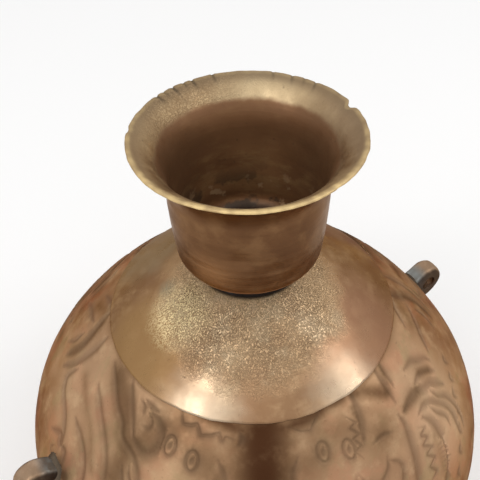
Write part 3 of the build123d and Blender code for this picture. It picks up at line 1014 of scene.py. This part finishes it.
def resampled(route, chart, step):
    """Even points along a map line, step millimetres apart on the pot."""
    scale = chart.radius((route[1:, 1] + route[:-1, 1]) / 2)
    lengths = np.concatenate([[0], np.cumsum(np.hypot(*np.diff(route, axis=0).T) * scale)])
    at = np.linspace(0, lengths[-1], max(2, int(lengths[-1] / step) + 1))
    return np.stack([np.interp(at, lengths, route[:, k]) for k in (0, 1)], -1), at, lengths[-1]


def chased_samples(chart):
    """Fine samples of every chased line: map place, half width and depth."""
    rows = []
    for points, width in all_strokes():
        route, at, length = resampled(chart.flat(points), chart, SAMPLE_STEP)
        closed = np.allclose(points[0] % 360, points[-1] % 360)
        from_end = np.minimum(at, length - at) / min(CHASE_END, length / 2)
        half = width / 2 * (1 if closed else np.clip(from_end, 0.12, 1) ** 0.6) + 0 * at
        rows.append(np.column_stack([route, half, GROOVE_DEPTH * np.sqrt(half)]))
    samples = np.vstack(rows)
    samples[:, 0] %= 2 * pi
    return samples


def rows_on_lines(chart):
    """Map places in rows across each chased line."""
    places = []
    for points, width in all_strokes():
        route = resampled(chart.flat(points), chart, GROOVE_STEP)[0]
        way = np.gradient(route, axis=0)
        side = np.stack([-way[:, 1], way[:, 0]], -1) / np.hypot(*way.T)[:, None]
        scale = chart.radius(route[:, 1])[:, None]
        places += [route + side * share * width / 2 / scale for share in GROOVE_ROWS]
    places = np.vstack(places)
    places[:, 0] %= 2 * pi
    return places


def even_scatter(chart, bottom_down):
    """Map places in even rows over the whole shell, each row half a step aside from the last."""
    rows = []
    down = 0.0
    while down < bottom_down:
        scale = chart.radius(down)
        count = int(2 * pi * scale / PLAIN_STEP)
        turn = (np.arange(count) + 0.5 * (len(rows) % 2)) * 2 * pi / count
        rows.append(np.stack([turn, np.full(count, down)], -1))
        down += PLAIN_STEP * 0.87 / scale
    return np.vstack(rows)


def mesh_places(chart, samples):
    """Map places of the outer skin's mesh points, apart from its borders."""
    lowest = chart.down[-1] - CLEAR_OF_END
    plain = even_scatter(chart, lowest)
    plain = plain[nearest_sample(plain, samples, chart)[0] > PLAIN_GAP]
    places = np.vstack([rows_on_lines(chart), plain])
    places = places[(places[:, 1] > CLEAR_OF_TOP) & (places[:, 1] < lowest)]
    places = thinned(places, chart, MESH_GAP)
    return places[(places[:, 0] > CLEAR_OF_SIDE) & (places[:, 0] < 2 * pi - CLEAR_OF_SIDE)]


def search_tree(places):
    """Tree that finds the nearest of the map places."""
    tree = kdtree.KDTree(len(places))
    for index, (x, y) in enumerate(places):
        tree.insert((x, y, 0), index)
    tree.balance()
    return tree


def nearest_sample(places, samples, chart):
    """Distance in millimetres from each map place to the nearest chased line, and that sample's row."""
    turn = [2 * pi, 0, 0, 0]
    wrapped = np.vstack([samples, samples[samples[:, 0] < MAP_WRAP] + turn,
                         samples[samples[:, 0] > 2 * pi - MAP_WRAP] - turn])
    tree = search_tree(wrapped[:, :2])
    index, distance = zip(*[tree.find((x, y, 0))[1:] for x, y in places])
    return np.array(distance) * chart.radius(places[:, 1]), wrapped[np.array(index)]


def thinned(places, chart, gap):
    """Keeps the first of the places in each cell about gap millimetres wide."""
    cells = set()
    kept = []
    for x, y in places:
        scale = round(float(chart.radius(y)), 0)
        cell = (int(x * scale / gap), int(y * scale / gap), scale)
        if cell not in cells:
            cells.add(cell)
            kept.append((x, y))
    return np.array(kept)


def triangles_of(places):
    """Delaunay triangles of map places; their points come back in the order that the triangles use."""
    result = geometry.delaunay_2d_cdt([Vector(place) for place in places], [], [], 0, 1e-7)
    return np.array([tuple(point) for point in result[0]]), [tuple(face) for face in result[2]]


def shell_relief(points, chased):
    """Uneven surface of the raised shell with its hammer marks, pressed in where it is chased."""
    lift = 0.42 * smooth_noise(points, 55.0, 20) + 0.13 * smooth_noise(points, 15.0, 21)
    return lift - 0.07 * hammered(points, 8.0, 22) - chased


def groove(distance, half, depth):
    """Depth of a chased line's section, with the slight burr that the tool throws up beside it."""
    share = np.clip(distance / half, 0, 1)
    burr = 0.10 * depth * np.exp(-(((distance - half) / 0.6 - 0.4) ** 2))
    return depth * (0.5 + 0.5 * np.cos(pi * share)) - burr


def stain_at(places, chart):
    """How dark the stains and the painted shade leave each map place."""
    dark = np.zeros(len(places))
    for points, width, strength in all_stains():
        route = resampled(chart.flat(points), chart, STAIN_STEP)[0]
        across = (places[:, None, 0] - route[None, :, 0] + pi) % (2 * pi) - pi
        away = np.hypot(across, places[:, None, 1] - route[None, :, 1]).min(1)
        distance = away * chart.radius(places[:, 1])
        dark = np.maximum(dark, strength * bell(distance, width / 2, 1.6))
    return np.minimum(dark, 1)


def shell_borders(chart):
    """Map places of the shell's opening, its lower edge and the map's two sides."""
    last = chart.down[-1]
    turn = np.linspace(0, 2 * pi, BORDER_TURNS + 1)
    ends = [np.stack([turn, 0 * turn + down], -1) for down in (0, last)]
    side = np.linspace(0, last, SIDE_ROWS)[1:-1]
    return ends, [np.stack([0 * side + x, side], -1) for x in (0, 2 * pi)]


def make_chased_shell():
    """Outer skin meshed to the chased lines, inner skin plain, joined by rounded edges at both ends."""
    skin = shell_skin(1.0)
    chart = Chart(skin, along_line(skin)[np.argmin(np.abs(skin[:, 0] - COLLAR_R))])
    samples = chased_samples(chart)
    ends, sides = shell_borders(chart)
    outer_places, outer_faces = triangles_of(np.vstack([*ends, *sides, mesh_places(chart, samples)]))
    coarse = [(x, y) for y in np.linspace(0, chart.down[-1], INNER_ROWS)[1:-1]
              for x in np.linspace(0, 2 * pi, INNER_TURNS + 1)]
    inner_places, inner_faces = triangles_of(np.vstack([*ends, coarse]))

    distance, row = nearest_sample(outer_places, samples, chart)
    half = row[:, 2]
    points = shell_points(chart, outer_places, 0.0, groove(distance, half, row[:, 3]))
    inner_points = shell_points(chart, inner_places, -SHEET, np.zeros(len(inner_places)))
    rims, rim_faces = shell_rims(chart, ends, outer_places, inner_places)
    faces = outer_faces + [tuple(i + len(points) for i in face) for face in inner_faces]
    chased = bell(distance, 1.3 * half + 0.3) * np.clip(half / 0.7, 0, 1)
    blank = np.zeros(len(inner_points) + len(rims))
    marks = {"chased": chased, "stain_and_shade": stain_at(outer_places, chart)}
    shell = add_mesh("body_upper_chased", np.vstack([points, inner_points, rims]), faces + rim_faces,
                     {mark: np.concatenate([values, blank]) for mark, values in marks.items()})
    weld(shell)
    stands_for(shell, "body_upper", BODY_BRASS)


def shell_points(chart, places, offset, chased):
    """Points in space of map places, lifted off the skin by offset and the shell's relief."""
    down = places[:, 1]
    radius, height = (chart.at(down, chart.skin[:, k]) for k in (0, 1))
    out_r, out_z = (chart.at(down, chart.normal[:, k]) for k in (0, 1))
    base = on_axis(radius, height, places[:, 0])
    free = np.clip(np.minimum(down, chart.down[-1] - down) / END_FADE, 0, 1)
    lift = offset + shell_relief(base, chased) * free
    return on_axis(radius + out_r * lift, height + out_z * lift, places[:, 0])


def shell_rims(chart, ends, outer_places, inner_places):
    """Rounded edge strips that join the outer skin's two ends to the inner skin's."""
    rims, faces = [], []
    first = len(outer_places) + len(inner_places)
    for border, row, way in zip(ends, (0, -1), (-1, 1)):
        outer_index = matching(outer_places, border)
        inner_index = matching(inner_places, border) + len(outer_places)
        middle = chart.skin[row] - chart.normal[row] * SHEET / 2 + chart.tangent[row] * way * SHEET * 0.4
        rims.append(on_axis(np.full(len(border), middle[0]), np.full(len(border), middle[1]), border[:, 0]))
        mid_index = first + np.arange(len(border))
        first += len(border)
        for low, high in ((outer_index, mid_index), (mid_index, inner_index)):
            quads = np.stack([low[:-1], low[1:], high[1:], high[:-1]], -1)
            faces += quads[:, ::way].tolist()
    return np.vstack(rims), faces


def matching(places, border):
    """Index of the place that each border point became."""
    tree = search_tree(places)
    return np.array([tree.find((x, y, 0))[1] for x, y in border])


def edited(obj, change):
    """Lets change() work on the mesh's points and faces, then turns all faces outward."""
    mesh = bmesh.new()
    mesh.from_mesh(obj.data)
    change(mesh)
    bmesh.ops.recalc_face_normals(mesh, faces=mesh.faces)
    mesh.to_mesh(obj.data)
    mesh.free()


def weld(obj):
    """Joins points that lie on each other, as where the map's two sides meet."""
    edited(obj, lambda mesh: bmesh.ops.remove_doubles(mesh, verts=mesh.verts, dist=0.00002))


# ---- lower bowl and foot ----
def bowl_relief(points, angle, along, outer):
    """Hammer marks below the rim, which stays true for the seam, and a wavy upper edge."""
    lift = 0.40 * smooth_noise(points, 50.0, 30) + 0.12 * smooth_noise(points, 14.0, 31)
    marks = 0.24 * hammered(points, 9.0, 32) * outer
    rim = np.clip((along - SEAM_LAP) / 8, 0, 1)
    return (lift - marks) * rim, 0.6 * smooth_noise(points, 9.0, 33) * bell(along, 3.0)


def make_bowl():
    bowl = turned_sheet("body_lower_bowl", bowl_skin(), bowl_relief, 420, inner_step=4)
    edited(bowl, close_floor)
    stands_for(bowl, "body_lower", BODY_BRASS)


def close_floor(mesh):
    """Closes the small round hole in the middle of the bowl's floor."""
    inner_edge = [v for v in mesh.verts if sqrt(v.co.x**2 + v.co.y**2) < 3.2 * MM]
    bmesh.ops.delete(mesh, geom=inner_edge, context="VERTS")
    open_edges = [edge for edge in mesh.edges if edge.is_boundary]
    bmesh.ops.holes_fill(mesh, edges=open_edges, sides=0)


def make_foot():
    top_z = top("foot_ring")
    outline = rounded([
        (FOOT_BASE_R - FOOT_TREAD, 0),
        (FOOT_BASE_R, 0),
        (FOOT_BASE_R, FOOT_TREAD_H),
        (FOOT_BASE_R - FOOT_TREAD + FOOT_WALL, FOOT_TREAD_H + 1.0),
        (FOOT_TOP_R + 0.7, top_z),
        (FOOT_TOP_R - FOOT_WALL + 0.6, top_z - 0.6),
        (FOOT_BASE_R - FOOT_TREAD, FOOT_TREAD_H),
    ], 0.8)

    def relief(points):
        raised = np.clip(points[..., 2] / 1.5, 0, 1)
        return (0.22 * smooth_noise(points, 16.0, 34) - 0.12 * hammered(points, 5.0, 35)) * raised

    foot = turned_ring("foot_ring_flared", divided(outline, 1.2), relief, 360)
    stands_for(foot, "foot_ring", BODY_BRASS)


# ---- eyes ----
def make_eye(side):
    """Cast eye: the plain eye softened by wear, with the unevenness of a sand casting."""
    source = frame["nodes"][side["node"]]
    eye = bpy.data.objects.new(side["node"] + "_cast", source.data.copy())
    bpy.context.scene.collection.objects.link(eye)
    add_modifier(eye, "REMESH", mode="VOXEL", voxel_size=0.5 * MM)
    add_modifier(eye, "SMOOTH", iterations=9, factor=0.6)
    applied(eye)
    places = np.array([tuple(v.co) for v in eye.data.vertices]) / MM
    normals = np.array([tuple(v.normal) for v in eye.data.vertices])
    lift = 0.22 + 0.40 * smooth_noise(places, 8.0, 40) + 0.12 * smooth_noise(places, 2.5, 41)
    eye.data.vertices.foreach_set("co", ((places + normals * lift[:, None]) * MM).ravel())
    eye.data.polygons.foreach_set("use_smooth", np.ones(len(eye.data.polygons), bool))
    stands_for(eye, side["node"], CAST_BRONZE)


def add_modifier(obj, kind, **settings):
    modifier = obj.modifiers.new(kind.lower(), kind)
    for key, value in settings.items():
        setattr(modifier, key, value)


def applied(obj):
    """Puts the modifiers' result into the mesh itself."""
    bpy.context.view_layer.update()
    evaluated = obj.evaluated_get(bpy.context.evaluated_depsgraph_get())
    mesh = bpy.data.meshes.new_from_object(evaluated)
    obj.modifiers.clear()
    obj.data = mesh


def solder_row(turn, spread, angle):
    """Points of the pool from under the eye's foot out to its thin edge and back beneath the skin."""
    direction = np.array([cos(turn), sin(turn)])
    half = np.array([EYE_WIDTH / 2, EYE_SPREAD / 2])
    foot = half * np.sign(direction) * np.abs(direction) ** 0.55
    uneven = noise.noise(Vector((direction[0] * 1.6, direction[1] * 1.6, angle)))
    reach_out = SOLDER_SPREAD * (1 + 0.35 * uneven)
    row = []
    for k, share in enumerate(spread):
        place = foot + direction * reach_out * max(share, 0) + direction * min(share, 0) * 1.6
        on_top = k < SOLDER_TOP_POINTS
        height = SOLDER_CLIMB * (1 - max(share, 0)) ** 1.9 - 0.05 if on_top else -0.5
        row.append(on_shell(place, angle, height))
    return row


def make_eye_solder(side):
    """Pool of solder that climbs the eye's foot and thins out over the pot's skin."""
    turns = 120
    spread = np.concatenate([np.linspace(-1.2, 1, SOLDER_TOP_POINTS), np.linspace(1, -1.2, 5)[1:]])
    points = np.array([solder_row(turn, spread, side["angle"]) for turn in around(turns)])
    name = side["node"].replace("eye", "eye_solder")
    pool = add_mesh(name + "_pool", points.reshape(-1, 3), grid_faces(turns, len(spread)))
    weld(pool)
    stands_for(pool, name, FILLER_METAL)


def on_shell(place, angle, height):
    """Point near an eye's foot: place is (sideways, up the skin) in millimetres from the foot's middle."""
    rise = asin((EYE_HEIGHT - BELLY_Z) / BELLY_ARC_R) + place[1] / BELLY_ARC_R
    centre_r, centre_z = BELLY_CENTRE
    radius = centre_r + (BELLY_ARC_R + height) * cos(rise)
    turn = radians(angle) + place[0] / radius
    return radius * cos(turn), radius * sin(turn), centre_z + (BELLY_ARC_R + height) * sin(rise)


# ---- filler metal ----
def bead(name, node_name, outline, size, seed, turns=300):
    """Ring of solder or brazing with a lumpy, hand-run surface."""
    def relief(points):
        return size * (0.7 * smooth_noise(points, 7.0, seed) + 0.4 * smooth_noise(points, 2.6, seed + 1))

    ring = turned_ring(name, divided(rounded(outline, 0.5), 0.9), relief, turns)
    stands_for(ring, node_name, FILLER_METAL)


def make_beads():
    bead("throat_solder_bead", "throat_solder", [
        (THROAT_R - 0.2, CUP_BOTTOM_Z + 0.2), (THROAT_R + 2.4, CUP_BOTTOM_Z + 0.2),
        (THROAT_R + 0.9, CUP_BOTTOM_Z - 1.0), (THROAT_R - 0.2, CUP_BOTTOM_Z - 2.1)], 0.3, 50)
    seam = on_circle(BOWL_CENTRE, BOWL_ARC_R, bowl_angle(SEAM_Z))
    section = [(-0.5, -0.3), (1.2, -0.3), (0.9, 0.7), (0.1, 1.6), (-0.5, 1.6)]
    bead("belly_seam_bead", "belly_seam_braze", [seam + point for point in section], 0.3, 52, 500)
    bead("foot_solder_bead", "foot_solder", [
        (FOOT_TOP_R + 0.4, BOWL_BOTTOM_Z + 2.2), (FOOT_TOP_R + 1.8, BOWL_BOTTOM_Z - 0.9),
        (FOOT_TOP_R + 2.1, BOWL_BOTTOM_Z + 1.0), (FOOT_TOP_R + 3.9, BOWL_BOTTOM_Z + 2.3)], 0.3, 54)


def finish_cad_nodes():
    """The two joints that lie between sheets keep their CAD shape and take the filler metal's look."""
    for name in ("collar_inner_solder", "collar_edge_solder"):
        obj = frame["nodes"][name]
        obj.data.materials.clear()
        obj.data.materials.append(FILLER_METAL)


# ---- stage, light and camera ----
def make_floor():
    material = bpy.data.materials.new("floor_paper")
    material.use_nodes = True
    shader = material.node_tree.nodes["Principled BSDF"]
    shader.inputs["Base Color"].default_value = (0.96, 0.96, 0.96, 1)
    shader.inputs["Roughness"].default_value = 0.9
    corners = [(x * 3.0, y * 3.0, 0) for x, y in ((-1, -1), (1, -1), (1, 1), (-1, 1))]
    mesh = bpy.data.meshes.new("floor")
    mesh.from_pydata(corners, [], [(0, 1, 2, 3)])
    mesh.materials.append(material)
    floor = bpy.data.objects.new("floor", mesh)
    bpy.context.scene.collection.objects.link(floor)


def soft_light(name, azimuth, elevation, distance, size, power, colour):
    """Oval lamp, its width and height in metres, that faces the pot."""
    data = bpy.data.lights.new(name, "AREA")
    data.shape = "ELLIPSE"
    data.size, data.size_y = size
    data.energy = power
    data.color = colour
    light = bpy.data.objects.new(name, data)
    towards = heading(azimuth, elevation)
    light.location = Vector((0, 0, 0.2)) + towards * distance
    light.rotation_euler = towards.to_track_quat("Z", "Y").to_euler()
    bpy.context.scene.collection.objects.link(light)


def make_lights():
    soft_light("left_lamp", -47, 37, 1.6, (0.34, 0.34), 2.1, (1.0, 0.99, 0.98))
    soft_light("left_strip", -45, 56, 1.6, (0.26, 0.7), 1.6, (1.0, 0.98, 0.95))
    soft_light("right_lamp", 74, 30, 1.6, (0.32, 0.32), 1.05, (1.0, 0.99, 0.98))
    soft_light("right_strip", 78, 50, 1.6, (0.26, 0.7), 2.1, (1.0, 0.98, 0.95))
    soft_light("overhead", 0, 54, 1.7, (0.8, 0.8), 1.0, (1.0, 0.98, 0.95))


def make_room():
    """Pale room light: warm grey below, white round the sides, greyer overhead."""
    world = bpy.data.worlds.new("soft_room")
    bpy.context.scene.world = world
    world.use_nodes = True
    nodes = Nodes(world.node_tree)
    up = nodes.node("SeparateXYZ", {0: nodes.node("TexCoord")["Generated"]})["Z"]
    sky = nodes.tinted((0.66, 0.64, 0.62), nodes.ramp(up, -0.1, 0.6), (1.05, 1.05, 1.05))
    sky = nodes.tinted(sky, nodes.ramp(up, 0.80, 0.98), (0.74, 0.74, 0.74))
    background = nodes.tree.nodes["Background"]
    nodes.tree.links.new(sky, background.inputs["Color"])
    background.inputs["Strength"].default_value = 0.94


CAMERA_ELEVATION = 43.506
CAMERA_ROLL = -2.123
CAMERA_DISTANCE = 322.5
CAMERA_LENS = 51.2
AIM_BELOW_LIP = 60.75
AIM_TO_LEFT = 4.45


def set_look():
    """Plain sRGB colours, so that the metal keeps its saturation."""
    bpy.context.scene.view_settings.view_transform = "Standard"


def make_camera():
    back = heading(0, CAMERA_ELEVATION)
    right = Vector((0, 0, 1)).cross(back).normalized()
    up = back.cross(right)
    roll = radians(CAMERA_ROLL)
    side = cos(roll) * right + sin(roll) * up
    head = -sin(roll) * right + cos(roll) * up
    aim = (Vector((0, 0, LIP_Z - AIM_BELOW_LIP)) - right * AIM_TO_LEFT) * MM
    data = bpy.data.cameras.new("camera")
    data.lens = CAMERA_LENS
    data.clip_start = 0.01
    camera = bpy.data.objects.new("camera", data)
    turn = Matrix((side, head, back)).transposed().to_4x4()
    camera.matrix_world = Matrix.Translation(aim + back * CAMERA_DISTANCE * MM) @ turn
    bpy.context.scene.collection.objects.link(camera)
    bpy.context.scene.camera = camera


EYES = [{"node": "eye_right", "angle": 0}, {"node": "eye_left", "angle": 180}]

make_cup()
make_throat()
make_collar()
make_chased_shell()
make_bowl()
make_foot()
for eye_side in EYES:
    make_eye(eye_side)
    make_eye_solder(eye_side)
make_beads()
finish_cad_nodes()
make_floor()
make_lights()
make_room()
set_look()
make_camera()
